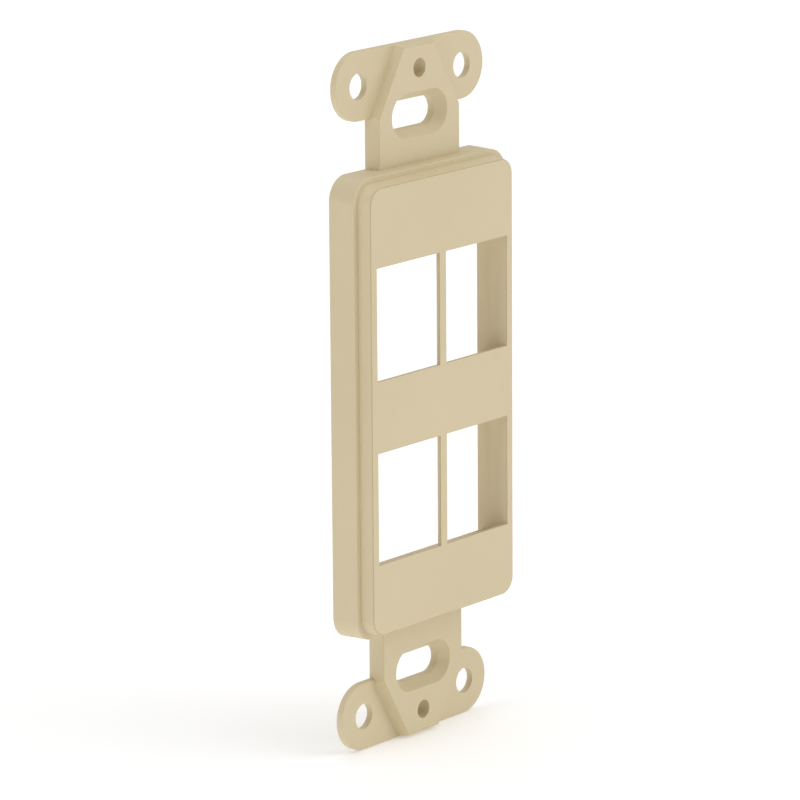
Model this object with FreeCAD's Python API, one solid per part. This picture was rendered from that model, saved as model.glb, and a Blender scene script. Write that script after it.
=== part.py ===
"""Decorator-style insert strap with four keystone openings, injection moulded in one piece.

Frame (mm): X to the right, Z up, the visible face looks towards -Y.
The origin is the centre of the four ear holes, in the plane Y = 0 on which the backs of the
ears and straps seat. The part is symmetric about X = 0. The two straps are mirror images about
Z = 0; the body and its openings are not: the ledge is wider above the raised face than below it,
and the rows of openings sit a little below the middle.
"""
import FreeCAD, Part
import math
import os

V = FreeCAD.Vector

# ---- driving dimensions -----------------------------------------------------------------------
# depth planes, as Y
Y_FACE = -6.87          # front of the raised face
Y_LEDGE = -4.76         # ledge around the raised face, which stands behind a cover plate
Y_STRAP = -2.73         # front of the two straps and their bosses
Y_EAR = -1.04           # front of the thin ears
Y_SEAT = 0.0            # backs of straps and ears: the seating plane
Y_SKIRT = -0.19         # rear rim of the body, just short of the seating plane

# body: half width, lower and upper end, corner radius (one, or lower and upper)
FACE_HW, FACE_Z, FACE_R = 16.47, (-33.05, 33.25), 2.45      # raised face
FOOT_HW, FOOT_Z, FOOT_R = 16.83, (-33.26, 33.68), 2.80      # the same block at the ledge: drafted sides
BODY_HW, BODY_Z, BODY_R = 17.75, (-34.03, 34.57), (3.40, 3.95)  # outline at the ledge, lower and upper corners
RIM_HW, RIM_Z, RIM_R = 17.80, (-34.20, 34.63), (3.40, 3.60)     # outline at the rear rim
PLATE_T = 1.50          # thickness of the face plate
FLANGE_T = 1.25         # thickness of the ledge's flange
WALL_T = 1.25           # wall of the skirt
CAV_HW, CAV_Z, CAV_R = 15.35, (-31.90, 32.05), 1.60 # hollow of the raised block

# keystone openings
PORT_W, PORT_H = 14.45, 16.72
PORT_X = 7.96           # centre, left and right
PORT_Z = (13.31, -14.07)                            # centres of the upper and lower row
PORT_LAND = 0.50        # straight wall of an opening behind the face
LEAD_IN_X, LEAD_IN_Z = 1.00, 0.80                   # rear lead-in at the mullion, and above and below
MULLION_D = 1.12        # depth of the bar between two openings
LATCH_T = 1.60          # rail over each row, on which the jacks' latches catch
LATCH_D = 8.90          # how far the latch tongues reach behind the face
LATCH_X0, LATCH_X1 = 2.70, 13.30                    # span of a tongue
LATCH_LIP = 0.55        # catch at the end of a tongue
RAIL_GAP, RAIL_T = 2.00, 1.30                       # rail under each row, clear of the jacks' hooks
RAIL_D = 6.00           # depth of the rails
RIB_T = 1.00

# straps, ears and bosses
STRAP_HW = 9.27
EAR_R = 5.07
EAR_X, EAR_Z = 11.93, 47.06
EAR_HOLE_R = 1.95
STRAP_Z0 = 33.40        # where a strap starts, inside the body's end wall
BOSS_ANGLE = 30.4       # lean of the boss's long sides
BOSS_LIFT = 0.65        # its foot starts to lean this far beyond the ears' inner edge
BOSS_DRAFT = 0.43       # how far its front edges stand in from its foot, along X
BOSS_TOP_DRAFT = 0.28   # how far its front edge stands in from its foot at the end
PLATE_SCREW_Z = 96.84 / 2.0                         # cover plate's screws, 96.84 apart
PLATE_SCREW_R = 1.40
BOX_SCREW_Z = 83.34 / 2.0                           # wall box's screws, 83.34 apart
SLOT_HL, SLOT_R = 6.41, 3.33                        # countersink's outline at the front
SLOT_IN_HL, SLOT_IN_R = 5.23, 2.15                  # the slot itself
SLOT_CONE = 1.54                                    # depth of the sloping wall

# rear coring of the straps
SKIN_T = 1.37
RIM_T = 1.30
COLLAR = 1.20

# edge rounding
R_FACE = 0.12           # edge of the raised face
R_EDGE = 0.14           # front edges of ledge, straps and bosses
R_EAR = 0.12            # front edge of the ears
R_BACK = 0.10           # rear rim
R_FOOT = 0.20           # hollow corner at the foot of a boss


# ---- outlines in a plane Y = y ---------------------------------------------------------------
def rounded(hw, z, r, y):
    """Rounded rectangle of half width hw between the two heights in z; r is one radius or a lower and an upper one."""
    hh, cz = (z[1] - z[0]) / 2, (z[0] + z[1]) / 2
    radii = r if isinstance(r, tuple) else (r, r)
    e = []
    corners = [(1, 1), (-1, 1), (-1, -1), (1, -1)]
    arcs = []
    for sx, sz in corners:
        r = radii[0] if sz < 0 else radii[1]
        k = r * math.sqrt(0.5)
        c = (sx * (hw - r), cz + sz * (hh - r))
        on_z = V(c[0], y, cz + sz * hh)
        on_x = V(sx * hw, y, c[1])
        mid = V(c[0] + sx * k, y, c[1] + sz * k)
        arcs.append((on_x, mid, on_z) if sx * sz > 0 else (on_z, mid, on_x))
    for i in range(4):
        a, m, b = arcs[i]
        e.append(Part.Arc(a, m, b).toShape())
        e.append(Part.LineSegment(b, arcs[(i + 1) % 4][0]).toShape())
    return Part.Wire(e)


def grown(z, d):
    """Pair of heights moved outwards by d."""
    return (z[0] - d, z[1] + d)


def wider(r, d):
    """Lower and upper corner radius, both larger by d."""
    return (r[0] + d, r[1] + d)


def polygon(points, y):
    return Part.makePolygon([V(x, y, z) for x, z in points] + [V(points[0][0], y, points[0][1])])


def obround(hl, r, y, cz):
    a = hl - r
    return Part.Wire([
        Part.LineSegment(V(-a, y, cz + r), V(a, y, cz + r)).toShape(),
        Part.Arc(V(a, y, cz + r), V(hl, y, cz), V(a, y, cz - r)).toShape(),
        Part.LineSegment(V(a, y, cz - r), V(-a, y, cz - r)).toShape(),
        Part.Arc(V(-a, y, cz - r), V(-hl, y, cz), V(-a, y, cz + r)).toShape(),
    ])


def prism(wire, y0, y1):
    return Part.Face(wire).extrude(V(0, y1 - y0, 0))


def loft(*wires):
    return Part.makeLoft(list(wires), True, True)


def tapered(a, ya, b, yb):
    """Solid between two outlines whose sides are parallel in pairs, all of its faces plane."""
    pa = [V(x, ya, z) for x, z in a]
    pb = [V(x, yb, z) for x, z in b]
    faces = [Part.Face(Part.makePolygon(p + [p[0]])) for p in (pa, pb)]
    for i in range(len(a)):
        j = (i + 1) % len(a)
        faces.append(Part.Face(Part.makePolygon([pa[i], pa[j], pb[j], pb[i], pa[i]])))
    solid = Part.Solid(Part.Shell(faces))
    if solid.Volume < 0:
        solid.reverse()
    return solid


def box(x0, x1, y0, y1, z0, z1):
    return Part.makeBox(x1 - x0, y1 - y0, z1 - z0, V(x0, y0, z0))


def rod(x, z, r, y0, y1):
    return Part.makeCylinder(r, y1 - y0, V(x, y0, z), V(0, 1, 0))


def depth(d):
    """Y of a plane d behind the face."""
    return Y_FACE + d


# ---- one end: strap, boss and ears, built for the upper end -----------------------------------
def boss_outlines():
    t = math.tan(math.radians(BOSS_ANGLE))
    top = EAR_Z + EAR_R - R_EAR         # where the rounding of the ears' front edge stops
    z_base = EAR_Z - EAR_R - 1.5
    zt = EAR_Z - EAR_R + BOSS_LIFT
    foot = [(-STRAP_HW, z_base), (STRAP_HW, z_base), (STRAP_HW, zt),
            (STRAP_HW - t * (top - zt), top), (-STRAP_HW + t * (top - zt), top), (-STRAP_HW, zt)]
    zf = zt - BOSS_DRAFT / t
    ztf = top - BOSS_TOP_DRAFT
    xtf = STRAP_HW - t * (ztf - zf)
    front = [(-STRAP_HW, z_base), (STRAP_HW, z_base), (STRAP_HW, zf), (xtf, ztf), (-xtf, ztf), (-STRAP_HW, zf)]
    return foot, front


def foot_fillet(p, q, side):
    """Hollow corner between the ear and a long side of the boss, from p to q along its foot."""
    r = R_FOOT
    along = V(q[0] - p[0], 0, q[1] - p[1])
    along.normalize()
    out = V(along.z, 0, -along.x) * side             # away from the boss, in the ear's plane
    def at(u, w):
        return V(p[0], Y_EAR, p[1]) + out * u + V(0, -w, 0)
    lean = BOSS_DRAFT * math.cos(math.radians(BOSS_ANGLE)) / (Y_EAR - Y_STRAP)     # of the boss's side, for each mm of height
    c = math.hypot(1.0, lean)
    cu = r * (c - lean)                              # the arc's centre is this far out and r above the ear
    su, sw = cu - r / c, r - r * lean / c            # where the arc meets the boss's side
    n = V(-1.0 / c, 0, -lean / c) + V(0, 0, -1.0)
    n.normalize()
    wire = Part.Wire([
        Part.LineSegment(at(-r, -r), at(cu, -r)).toShape(),
        Part.LineSegment(at(cu, -r), at(cu, 0)).toShape(),
        Part.Arc(at(cu, 0), at(cu + r * n.x, r + r * n.z), at(su, sw)).toShape(),
        Part.LineSegment(at(su, sw), at(-r, sw)).toShape(),
        Part.LineSegment(at(-r, sw), at(-r, -r)).toShape(),
    ])
    return Part.Face(wire).extrude(V(q[0] - p[0], 0, q[1] - p[1]))


def end_solid():
    foot, front = boss_outlines()
    z_low, z_top = EAR_Z - EAR_R, EAR_Z + EAR_R
    strap = box(-STRAP_HW, STRAP_HW, Y_STRAP, Y_SEAT, STRAP_Z0, z_low - 1.5)
    boss = tapered(foot, Y_EAR, front, Y_STRAP)
    under = prism(polygon(foot, Y_EAR), Y_EAR, Y_SEAT)
    raised = rounded_edges(strap.fuse([boss, under]).removeSplitter(), R_EDGE, lambda b, e: flat_at(b, Y_STRAP) and b.ZMax > BODY_Z[1])
    # the two ears are the ends of one long slab with its front edge rounded
    slab = prism(obround(EAR_X + EAR_R, EAR_R, Y_SEAT, EAR_Z), Y_SEAT, Y_EAR)
    slab = rounded_edges(slab, R_EAR, lambda b, e: flat_at(b, Y_EAR))
    edge = R_EAR + 0.06                 # the hollow corners stop a hair inside the rounding of the ears' edge
    inset = prism(obround(EAR_X + EAR_R - edge, EAR_R - edge, Y_SEAT, EAR_Z), Y_EAR + 0.5, Y_STRAP)
    fillets = [foot_fillet(foot[2], foot[3], 1).common(inset), foot_fillet(foot[5], foot[4], -1).common(inset)]
    return slab.fuse([raised] + fillets).removeSplitter()


def end_cuts():
    cuts = []
    # rear coring between a rim and the collars around slot and hole
    t = math.tan(math.radians(BOSS_ANGLE))
    hw = STRAP_HW - RIM_T
    z0 = RIM_Z[1] + 0.95
    z_turn = EAR_Z - EAR_R - 0.6
    z_top = EAR_Z + EAR_R - RIM_T - 0.2
    x_top = hw - t * (z_top - z_turn)
    pocket = prism(polygon([(-hw, z0), (hw, z0), (hw, z_turn), (x_top, z_top), (-x_top, z_top), (-hw, z_turn)], Y_STRAP + SKIN_T),
                   Y_STRAP + SKIN_T, Y_SEAT + 1)
    collar = prism(obround(SLOT_IN_HL + COLLAR, SLOT_IN_R + COLLAR, Y_STRAP, BOX_SCREW_Z), Y_STRAP, Y_SEAT + 2)
    pocket = pocket.cut(collar).cut(rod(0, PLATE_SCREW_Z, PLATE_SCREW_R + COLLAR, Y_STRAP, Y_SEAT + 2))
    cuts.append(pocket)
    # countersunk slot
    cuts.append(loft(obround(SLOT_HL, SLOT_R, Y_STRAP, BOX_SCREW_Z), obround(SLOT_IN_HL, SLOT_IN_R, Y_STRAP + SLOT_CONE, BOX_SCREW_Z)))
    cuts.append(prism(obround(SLOT_IN_HL, SLOT_IN_R, Y_STRAP, BOX_SCREW_Z), Y_STRAP, Y_SEAT + 1))
    # cover plate's screw hole, and the holes in the ears
    cuts.append(rod(0, PLATE_SCREW_Z, PLATE_SCREW_R, Y_STRAP - 1, Y_SEAT + 1))
    for s in (-1, 1):
        cuts.append(rod(s * EAR_X, EAR_Z, EAR_HOLE_R, Y_EAR - 1, Y_SEAT + 1))
        # ejector marks on the backs of the ears
        cuts.append(rod(s * 7.9, EAR_Z + 2.3, 1.15, Y_SEAT - 0.12, Y_SEAT + 1))
    return cuts


def mirror(shape):
    return shape.mirror(V(0, 0, 0), V(0, 0, 1))


# ---- body -------------------------------------------------------------------------------------
def body_solid():
    block = loft(rounded(FOOT_HW, FOOT_Z, FOOT_R, Y_LEDGE), rounded(FACE_HW, FACE_Z, FACE_R, Y_FACE))
    skirt = loft(rounded(BODY_HW, BODY_Z, BODY_R, Y_LEDGE), rounded(RIM_HW, RIM_Z, RIM_R, Y_SKIRT))
    return block.fuse(skirt).removeSplitter()


def hollow():
    y1 = Y_LEDGE + FLANGE_T
    front = prism(rounded(CAV_HW, CAV_Z, CAV_R, depth(PLATE_T)), depth(PLATE_T), y1 + 0.1)
    rear = prism(rounded(BODY_HW - WALL_T, grown(BODY_Z, -WALL_T), wider(BODY_R, -WALL_T), y1), y1, Y_SKIRT + 3)
    return front.fuse(rear)


def port_cuts():
    cuts = []
    for cz in PORT_Z:
        z0, z1 = cz - PORT_H / 2, cz + PORT_H / 2
        for s in (-1, 1):
            x0, x1 = s * (PORT_X - PORT_W / 2), s * (PORT_X + PORT_W / 2)
            cuts.append(box(min(x0, x1), max(x0, x1), Y_FACE - 1, depth(PLATE_T + 0.5), z0, z1))
            xi = x0 - s * LEAD_IN_X
            near = [(x0, z0), (x1, z0), (x1, z1), (x0, z1)]
            far = [(xi, z0 - LEAD_IN_Z), (x1, z0 - LEAD_IN_Z), (x1, z1 + LEAD_IN_Z), (xi, z1 + LEAD_IN_Z)]
            cuts.append(tapered(near, depth(PORT_LAND), far, depth(PLATE_T)))
        cuts.append(box(-0.6, 0.6, depth(MULLION_D), depth(PLATE_T + 0.5), z0 - 0.35, z1 + 0.35))
    return cuts


def room():
    """The hollow grown by a little, so that what is clipped to it runs into the walls but never through them."""
    y1 = Y_LEDGE + FLANGE_T
    g = 0.3
    front = prism(rounded(CAV_HW + g, grown(CAV_Z, g), CAV_R + g, depth(PLATE_T - g)), depth(PLATE_T - g), y1)
    rear = prism(rounded(BODY_HW - WALL_T + g, grown(BODY_Z, g - WALL_T), wider(BODY_R, g - WALL_T), y1 - g), y1 - g, depth(LATCH_D + 1))
    return front.fuse(rear)


def rails():
    """Rails, latch tongues and ribs inside the body, behind the plate."""
    hw = BODY_HW
    out = []
    front = depth(PLATE_T - 0.3)
    edges = []
    for cz in PORT_Z:
        z0, z1 = cz - PORT_H / 2, cz + PORT_H / 2
        out.append(box(-hw, hw, front, depth(RAIL_D), z1 + 0.001, z1 + LATCH_T))
        for s in (-1, 1):
            xa, xb = sorted((s * LATCH_X0, s * LATCH_X1))
            tongue = polygon_x([(depth(RAIL_D) - 0.5, z1 + 0.001), (depth(LATCH_D) - 0.8, z1 + 0.001), (depth(LATCH_D) - 0.8, z1 - LATCH_LIP),
                                (depth(LATCH_D) - 0.35, z1 - LATCH_LIP), (depth(LATCH_D), z1 + 0.15), (depth(LATCH_D), z1 + LATCH_T - 0.3),
                                (depth(LATCH_D) - 0.3, z1 + LATCH_T), (depth(RAIL_D) - 0.5, z1 + LATCH_T)], xa, xb)
            out.append(tongue)
        out.append(box(-hw, hw, front, depth(RAIL_D), z0 - RAIL_GAP - RAIL_T, z0 - RAIL_GAP))
        edges.append((z0 - RAIL_GAP - RAIL_T, z1 + LATCH_T))
    # ribs: from the upper rail to the end wall, between the rows, and from the lowest rail to the end wall
    top, mid_hi, mid_lo, bot = edges[0][1], edges[0][0], edges[1][1], edges[1][0]
    low_end, high_end = BODY_Z
    for x in (-9.6, 0.0, 9.6):
        out.append(box(x - RIB_T / 2, x + RIB_T / 2, front, depth(RAIL_D - 0.6), top - 0.2, high_end))
        out.append(box(x - RIB_T / 2, x + RIB_T / 2, front, depth(RAIL_D - 0.6), low_end, bot + 0.2))
        out.append(box(x - RIB_T / 2, x + RIB_T / 2, front, depth(RAIL_D - 0.6), mid_lo - 0.2, mid_hi + 0.2))
    return out[0].fuse(out[1:]).common(room())


def polygon_x(points, x0, x1):
    """Prism along X of a closed outline given as (y, z)."""
    pts = [V(x0, y, z) for y, z in points]
    return Part.Face(Part.makePolygon(pts + [pts[0]])).extrude(V(x1 - x0, 0, 0))


# ---- edge selection ---------------------------------------------------------------------------
def edges_where(shape, test):
    found = []
    for e in shape.Edges:
        b = e.BoundBox
        if test(b, e):
            found.append(e)
    return found


def flat_at(b, y):
    return abs(b.YMin - y) < 1e-4 and abs(b.YMax - y) < 1e-4


def rounded_edges(shape, radius, test):
    picked = edges_where(shape, test)
    out = shape.makeFillet(radius, picked)
    if not out.isValid() or len(out.Solids) != 1:
        raise RuntimeError("an edge could not be rounded")
    return out.Solids[0]


def build():
    top = end_solid()
    solid = body_solid()
    solid = rounded_edges(solid, R_FACE, lambda b, e: flat_at(b, Y_FACE))
    solid = rounded_edges(solid, R_EDGE, lambda b, e: flat_at(b, Y_LEDGE) and (
        max(-b.XMin, b.XMax) > BODY_HW - 1e-3 or b.ZMin < BODY_Z[0] + 1e-3 or b.ZMax > BODY_Z[1] - 1e-3))
    solid = rounded_edges(solid, R_BACK, lambda b, e: flat_at(b, Y_SKIRT))
    solid = solid.cut(hollow())
    solid = solid.fuse(rails())
    solid = solid.cut(port_cuts())
    solid = solid.fuse([top, mirror(top)])
    solid = solid.cut(end_cuts() + [mirror(c) for c in end_cuts()])
    return solid.removeSplitter()


def main():
    os.makedirs("parts", exist_ok=True)
    solid = build()
    if len(solid.Solids) != 1:
        raise RuntimeError("expected one solid, found %d" % len(solid.Solids))
    shape = solid.Solids[0]
    if not shape.isValid():
        raise RuntimeError("the solid is not valid")
    b = shape.BoundBox
    print("box", [round(v, 3) for v in (b.XMin, b.XMax, b.YMin, b.YMax, b.ZMin, b.ZMax)])
    print("volume mm3", round(shape.Volume, 1), "faces", len(shape.Faces))
    shape.exportStep("parts/keystone_faceplate.step")


main()
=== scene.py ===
import math

import bpy
from mathutils import Matrix, Vector


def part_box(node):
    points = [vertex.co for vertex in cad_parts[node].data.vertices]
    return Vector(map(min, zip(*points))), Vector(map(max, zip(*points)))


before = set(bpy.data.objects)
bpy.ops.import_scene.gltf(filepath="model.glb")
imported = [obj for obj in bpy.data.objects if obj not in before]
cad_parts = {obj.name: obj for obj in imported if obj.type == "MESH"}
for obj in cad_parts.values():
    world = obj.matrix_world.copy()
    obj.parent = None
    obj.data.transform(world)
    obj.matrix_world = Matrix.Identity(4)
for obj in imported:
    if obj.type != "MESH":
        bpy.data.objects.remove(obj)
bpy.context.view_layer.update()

# ---- camera -----------------------------------------------------------------------------------
# Angles and distance that put the part in an 800 by 800 picture as the reference shows it.
YAW = math.radians(50.8651)         # camera stands to the left of the front
PITCH = math.radians(13.2897)       # and looks down by this
ROLL = math.radians(-0.4227)
FOCAL_PX = 5047.09
DISTANCE = 0.739717                 # along the line of sight to the middle of the face
FACE_Y = -0.00687
FACE_PX = (443.567, 396.834)      # where the middle of the face falls

st, ct, se, ce = math.sin(YAW), math.cos(YAW), math.sin(PITCH), math.cos(PITCH)
right0 = Vector((ct, -st, 0.0))
up0 = Vector((st * se, ct * se, ce))
ahead = Vector((st * ce, ct * ce, -se))
cr, sr = math.cos(ROLL), math.sin(ROLL)
du, dv = FACE_PX[0] - 400.0, FACE_PX[1] - 400.0
a0, b0 = cr * du + sr * dv, -sr * du + cr * dv
location = Vector((0.0, FACE_Y, 0.0)) - (right0 * (a0 * DISTANCE / FOCAL_PX) + up0 * (-b0 * DISTANCE / FOCAL_PX) + ahead * DISTANCE)
right = right0 * cr + up0 * sr
up = up0 * cr - right0 * sr
back = -ahead
camera = bpy.data.objects.new("camera", bpy.data.cameras.new("camera"))
bpy.context.scene.collection.objects.link(camera)
camera.matrix_world = Matrix((
    (right.x, up.x, back.x, location.x),
    (right.y, up.y, back.y, location.y),
    (right.z, up.z, back.z, location.z),
    (0.0, 0.0, 0.0, 1.0),
))
camera.data.sensor_width = 36.0
camera.data.lens = FOCAL_PX / 800.0 * 36.0
camera.data.clip_start, camera.data.clip_end = 0.05, 50.0
bpy.context.scene.camera = camera


# ---- node helpers -----------------------------------------------------------------------------
def new_material(name):
    m = bpy.data.materials.new(name)
    m.use_nodes = True
    m.node_tree.nodes.clear()
    return m, m.node_tree.nodes, m.node_tree.links


def noise(nodes, links, vector, scale, detail, rough=0.5):
    n = nodes.new("ShaderNodeTexNoise")
    n.inputs["Scale"].default_value = scale
    n.inputs["Detail"].default_value = detail
    n.inputs["Roughness"].default_value = rough
    links.new(vector, n.inputs["Vector"])
    return n.outputs["Fac"]


def remap(nodes, links, value, lo, hi, to_lo, to_hi):
    n = nodes.new("ShaderNodeMapRange")
    n.inputs["From Min"].default_value = lo
    n.inputs["From Max"].default_value = hi
    n.inputs["To Min"].default_value = to_lo
    n.inputs["To Max"].default_value = to_hi
    links.new(value, n.inputs["Value"])
    return n.outputs["Result"]


# ---- ivory moulded plastic --------------------------------------------------------------------
# The fine front edges of face and bosses get painted shade: thin strips of colour a little darker than the surfaces
# beside them, standing in for the shade on their small roundings. Each starts just behind its front plane. The bosses
# lie beyond the body's ends, and the slots' rims are left out.
FACE_EDGE_PAINTED_SHADE = (-0.00687, (0.785, 0.755, 0.66, 1.0))       # front plane, tone
BOSS_EDGE_PAINTED_SHADE = (-0.00273, (0.93, 0.915, 0.87, 1.0))
EDGE_WIDTH, EDGE_FADE = 0.00010, 0.00005
BODY_END, SLOT_RIM_X, SLOT_RIM_Z = 0.0348, 0.0066, 0.0450


# multiplies painted shade into the colour along thin strips at the front edges of face and bosses
def painted_edge_shade(nodes, links, coord, colour):
    split = nodes.new("ShaderNodeSeparateXYZ")
    links.new(coord, split.inputs["Vector"])

    def two(op, a, b):
        n = nodes.new("ShaderNodeMath")
        n.operation = op
        for k, v in enumerate((a, b)):
            if isinstance(v, float):
                n.inputs[k].default_value = v
            else:
                links.new(v, n.inputs[k])
        return n.outputs[0]

    across, along = two("ABSOLUTE", split.outputs["X"], 0.0), two("ABSOLUTE", split.outputs["Z"], 0.0)
    off_slot = two("MAXIMUM", two("GREATER_THAN", across, SLOT_RIM_X), two("GREATER_THAN", along, SLOT_RIM_Z))
    on_boss = two("MULTIPLY", off_slot, two("GREATER_THAN", along, BODY_END))
    for (front, painted_shade), where in ((FACE_EDGE_PAINTED_SHADE, None), (BOSS_EDGE_PAINTED_SHADE, on_boss)):
        begin = remap(nodes, links, split.outputs["Y"], front + 0.000001, front + 0.000004, 0.0, 1.0)
        finish = remap(nodes, links, split.outputs["Y"], front + EDGE_WIDTH, front + EDGE_WIDTH + EDGE_FADE, 1.0, 0.0)
        strip = two("MULTIPLY", begin, finish)
        if where is not None:
            strip = two("MULTIPLY", strip, where)
        mix = nodes.new("ShaderNodeMix")
        mix.data_type = "RGBA"
        mix.blend_type = "MULTIPLY"
        mix.inputs["B"].default_value = painted_shade
        links.new(strip, mix.inputs["Factor"])
        links.new(colour, mix.inputs["A"])
        colour = mix.outputs["Result"]
    return colour


def ivory():
    m, nodes, links = new_material("ivory_plastic")
    out = nodes.new("ShaderNodeOutputMaterial")
    bsdf = nodes.new("ShaderNodeBsdfPrincipled")
    links.new(bsdf.outputs["BSDF"], out.inputs["Surface"])
    coord = nodes.new("ShaderNodeTexCoord").outputs["Object"]
    # slow drift of the pigment and a finer mottling
    drift = remap(nodes, links, noise(nodes, links, coord, 22.0, 2.0), 0.3, 0.7, 0.0, 1.0)
    mottle = remap(nodes, links, noise(nodes, links, coord, 420.0, 3.0, 0.6), 0.3, 0.7, 0.0, 1.0)
    ramp = nodes.new("ShaderNodeMix")
    ramp.data_type = "RGBA"
    ramp.inputs["A"].default_value = (0.656, 0.554, 0.350, 1.0)
    ramp.inputs["B"].default_value = (0.681, 0.575, 0.371, 1.0)
    links.new(drift, ramp.inputs["Factor"])
    fine = nodes.new("ShaderNodeMix")
    fine.data_type = "RGBA"
    fine.blend_type = "MULTIPLY"
    fine.inputs["Factor"].default_value = 1.0
    links.new(ramp.outputs["Result"], fine.inputs["A"])
    shade = nodes.new("ShaderNodeCombineColor")
    level = remap(nodes, links, mottle, 0.0, 1.0, 0.988, 1.0)
    for s in ("Red", "Green", "Blue"):
        links.new(level, shade.inputs[s])
    links.new(shade.outputs["Color"], fine.inputs["B"])
    # base colour, with the painted shade of the front edges multiplied in
    links.new(painted_edge_shade(nodes, links, coord, fine.outputs["Result"]), bsdf.inputs["Base Color"])
    # satin finish of a finely eroded mould
    links.new(remap(nodes, links, noise(nodes, links, coord, 900.0, 2.0), 0.3, 0.7, 0.40, 0.50), bsdf.inputs["Roughness"])
    bsdf.inputs["IOR"].default_value = 1.48
    bump = nodes.new("ShaderNodeBump")
    bump.inputs["Strength"].default_value = 0.06
    bump.inputs["Distance"].default_value = 0.00002
    links.new(noise(nodes, links, coord, 5200.0, 2.0, 0.6), bump.inputs["Height"])
    links.new(bump.outputs["Normal"], bsdf.inputs["Normal"])
    return m


# ---- shading of the moulded part ----------------------------------------------------------------
# Rounded edges lie in thin slabs of depth; a break inside a slab is part of a rounding, every other
# break is a real edge. The slab of the hollow corners at the bosses' feet also holds the crease at the
# bottom of the slots' sloping walls, so there only what lies clear of the slots counts.
ROUNDINGS = [(-0.006865, -0.006755), (-0.004755, -0.004625), (-0.002725, -0.002595),
             (-0.001035, -0.000925), (-0.000285, -0.000195)]
FOOT_SLAB = (-0.001205, -0.001045)
SLOT_X, SLOT_Z = 0.0060, 0.0445


def clean_normals(obj):
    tree = bpy.data.node_groups.new("real_edges", "GeometryNodeTree")
    tree.interface.new_socket("Geometry", in_out="INPUT", socket_type="NodeSocketGeometry")
    tree.interface.new_socket("Geometry", in_out="OUTPUT", socket_type="NodeSocketGeometry")
    nodes, links = tree.nodes, tree.links
    start, end = nodes.new("NodeGroupInput"), nodes.new("NodeGroupOutput")

    def compare(value, op, number):
        n = nodes.new("FunctionNodeCompare")
        n.data_type, n.operation = "FLOAT", op
        links.new(value, n.inputs[0])
        n.inputs[1].default_value = number
        return n.outputs[0]

    def logic(op, *values):
        n = nodes.new("FunctionNodeBooleanMath")
        n.operation = op
        for k, v in enumerate(values):
            links.new(v, n.inputs[k])
        return n.outputs[0]

    weld = nodes.new("GeometryNodeMergeByDistance")
    weld.inputs["Distance"].default_value = 1e-6
    links.new(start.outputs["Geometry"], weld.inputs["Geometry"])
    angle = nodes.new("GeometryNodeInputMeshEdgeAngle").outputs["Unsigned Angle"]
    split = nodes.new("ShaderNodeSeparateXYZ")
    links.new(nodes.new("GeometryNodeInputPosition").outputs["Position"], split.inputs["Vector"])
    depth = split.outputs["Y"]

    def size_of(value):
        n = nodes.new("ShaderNodeMath")
        n.operation = "ABSOLUTE"
        links.new(value, n.inputs[0])
        return n.outputs[0]

    clear = logic("OR", compare(size_of(split.outputs["X"]), "GREATER_THAN", SLOT_X),
                  compare(size_of(split.outputs["Z"]), "GREATER_THAN", SLOT_Z))
    inside = logic("AND", clear, logic("AND", compare(depth, "GREATER_THAN", FOOT_SLAB[0]), compare(depth, "LESS_THAN", FOOT_SLAB[1])))
    for lo, hi in ROUNDINGS:
        slab = logic("AND", compare(depth, "GREATER_THAN", lo), compare(depth, "LESS_THAN", hi))
        inside = logic("OR", inside, slab)
    soft = logic("AND", inside, compare(angle, "LESS_THAN", 0.7))
    sharp = logic("AND", compare(angle, "GREATER_THAN", 0.43), logic("NOT", soft))
    normal = nodes.new("GeometryNodeSetMeshNormal")
    normal.mode = "SHARPNESS"
    normal.inputs["Remove Custom"].default_value = True
    normal.inputs["Face Sharpness"].default_value = False
    links.new(weld.outputs["Geometry"], normal.inputs["Mesh"])
    links.new(sharp, normal.inputs["Edge Sharpness"])
    links.new(normal.outputs["Mesh"], end.inputs["Geometry"])
    obj.modifiers.new("real_edges", "NODES").node_group = tree
    weighted = obj.modifiers.new("flat_faces", "WEIGHTED_NORMAL")
    weighted.mode = "FACE_AREA"
    weighted.weight = 50
    weighted.keep_sharp = True


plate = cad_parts["keystone_faceplate"]
plastic = ivory()
plate.data.materials.clear()
plate.data.materials.append(plastic)
clean_normals(plate)


# ---- stage ------------------------------------------------------------------------------------
FLOOR_GLOW = 0.2693
floor_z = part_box("keystone_faceplate")[0].z - 0.00015
size = 3.0
mesh = bpy.data.meshes.new("floor")
mesh.from_pydata([(-size, -size, floor_z), (size, -size, floor_z), (size, size, floor_z), (-size, size, floor_z)], [], [(0, 1, 2, 3)])
floor = bpy.data.objects.new("floor", mesh)
bpy.context.scene.collection.objects.link(floor)
fm, fn, fl = new_material("floor_white")
fout = fn.new("ShaderNodeOutputMaterial")
fb = fn.new("ShaderNodeBsdfPrincipled")
fb.inputs["Base Color"].default_value = (0.86, 0.86, 0.86, 1.0)
fb.inputs["Roughness"].default_value = 0.9
fb.inputs["Specular IOR Level"].default_value = 0.1
fb.inputs["Emission Color"].default_value = (1.0, 1.0, 1.0, 1.0)
fb.inputs["Emission Strength"].default_value = FLOOR_GLOW
fl.new(fb.outputs["BSDF"], fout.inputs["Surface"])
floor.data.materials.append(fm)

# ---- light ------------------------------------------------------------------------------------
# A soft studio: wide soft lobes of light round the part, by azimuth (0 in front, 90 at the right),
# elevation, narrowness and strength, on top of an even base, with a low white band along the horizon.
BASE = 0.0
HORIZON = 1.02
LOBES = [(-92, 10, 80, 4.306), (-95, 55, 12, 1.3419), (0, 88, 6, 0.9852), (25, 35, 15, 2.024),
         (39, 50, 6, 0.6812), (129, 50, 6, 0.8522), (-141, 50, 6, 0.1929)]


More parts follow.
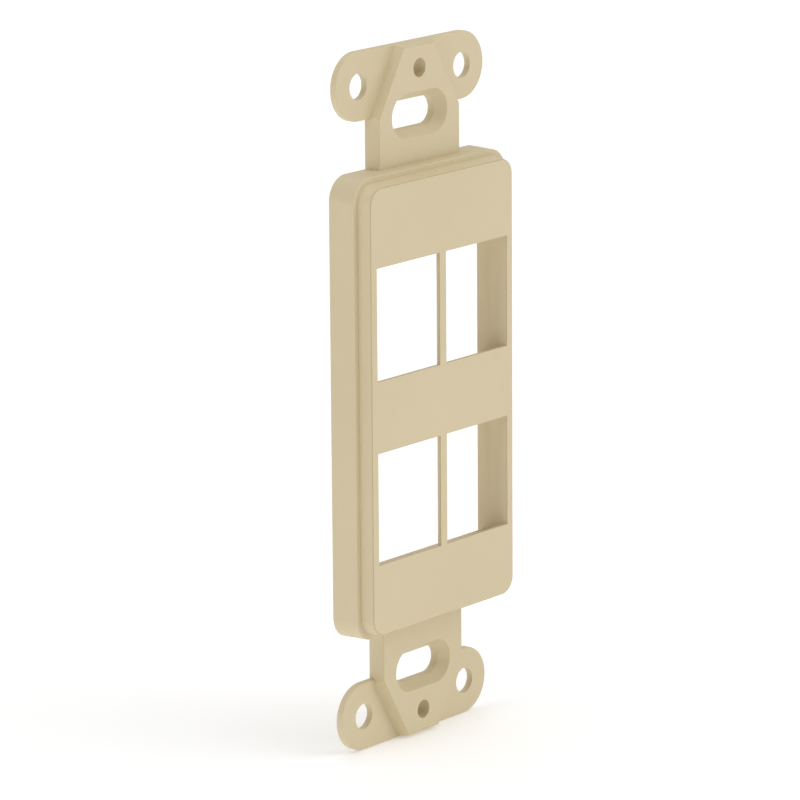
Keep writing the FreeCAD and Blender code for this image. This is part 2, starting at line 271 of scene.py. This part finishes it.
def studio(base, horizon, lobes):
    world = bpy.data.worlds.new("studio")
    bpy.context.scene.world = world
    world.use_nodes = True
    nodes, links = world.node_tree.nodes, world.node_tree.links
    nodes.clear()
    out = nodes.new("ShaderNodeOutputWorld")
    sky = nodes.new("ShaderNodeBackground")
    sky.inputs["Color"].default_value = (1.0, 1.0, 1.0, 1.0)
    links.new(sky.outputs["Background"], out.inputs["Surface"])
    direction = nodes.new("ShaderNodeTexCoord").outputs["Generated"]

    def math_node(op, a, b):
        n = nodes.new("ShaderNodeMath")
        n.operation = op
        for k, v in enumerate((a, b)):
            if isinstance(v, float):
                n.inputs[k].default_value = v
            else:
                links.new(v, n.inputs[k])
        return n.outputs[0]

    total = None
    for azimuth, elevation, narrow, strength in lobes:
        a, e = math.radians(azimuth), math.radians(elevation)
        dot = nodes.new("ShaderNodeVectorMath")
        dot.operation = "DOT_PRODUCT"
        links.new(direction, dot.inputs[0])
        dot.inputs[1].default_value = (math.sin(a) * math.cos(e), -math.cos(a) * math.cos(e), math.sin(e))
        lobe = math_node("MULTIPLY", math_node("POWER", math_node("MAXIMUM", dot.outputs["Value"], 0.0), float(narrow)), float(strength))
        total = lobe if total is None else math_node("ADD", total, lobe)
    split = nodes.new("ShaderNodeSeparateXYZ")
    links.new(direction, split.inputs["Vector"])
    band = nodes.new("ShaderNodeMapRange")
    band.interpolation_type = "SMOOTHSTEP"
    band.inputs["From Min"].default_value = 0.09
    band.inputs["From Max"].default_value = 0.22
    band.inputs["To Min"].default_value = float(horizon)
    band.inputs["To Max"].default_value = 0.0
    links.new(math_node("ABSOLUTE", split.outputs["Z"], 0.0), band.inputs["Value"])
    total = math_node("ADD", total, band.outputs["Result"])
    links.new(math_node("ADD", total, float(base)), sky.inputs["Strength"])


studio(BASE, HORIZON, LOBES)

bpy.context.scene.view_settings.view_transform = "Standard"
bpy.context.scene.view_settings.look = "None"
bpy.context.scene.view_settings.exposure = 0.0
bpy.context.scene.view_settings.gamma = 1.0
